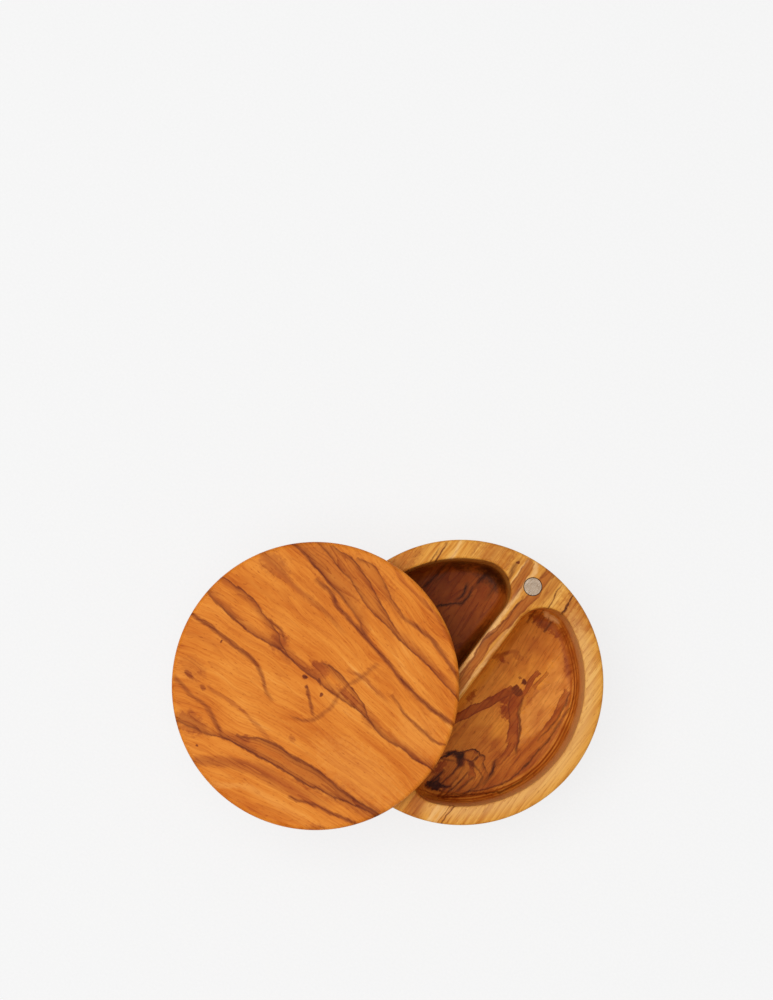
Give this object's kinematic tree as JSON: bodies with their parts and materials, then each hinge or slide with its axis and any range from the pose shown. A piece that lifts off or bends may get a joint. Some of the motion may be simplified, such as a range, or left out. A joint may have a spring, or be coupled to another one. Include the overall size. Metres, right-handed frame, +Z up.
{
  "type": "two-compartment swivel-lid box",
  "caption": "Round wooden keeper with D-shaped pockets on either side of a divider and a flat lid that swivels on a hidden pivot and is held shut by magnets.",
  "frame": {"origin": "middle of the flat underside, on the turned block's axis", "axes": "+Z up, +Y along the divider from the pivot to the catch magnet, +X into the pocket that the stored pose leaves open"},
  "size_m": [0.1747, 0.1645, 0.0654],
  "materials": {
    "base_wood": "oiled olive wood, fine straight grain",
    "lid_wood": "oiled olive wood with dark wavy veins",
    "magnet_nickel": "dull scratched nickel plate",
    "zinc_steel": "bright zinc plate",
    "insert_brass": "turned brass",
    "white_nylon": "natural nylon"
  },
  "bodies": {
    "base": {"base_body": "base_wood", "base_magnet": "magnet_nickel", "slip_washer": "white_nylon", "head_washer": "zinc_steel"},
    "lid": {"swivel_lid": "lid_wood", "lid_magnet": "magnet_nickel", "lid_insert": "insert_brass", "pivot_screw": "zinc_steel"}
  },
  "joints": [
    {"name": "lid_swivel", "type": "hinge", "parent": "base", "child": "lid", "pos_m": [0, -0.051, 0.05295], "axis": [0, 0, 1], "continuous": true}
  ]
}
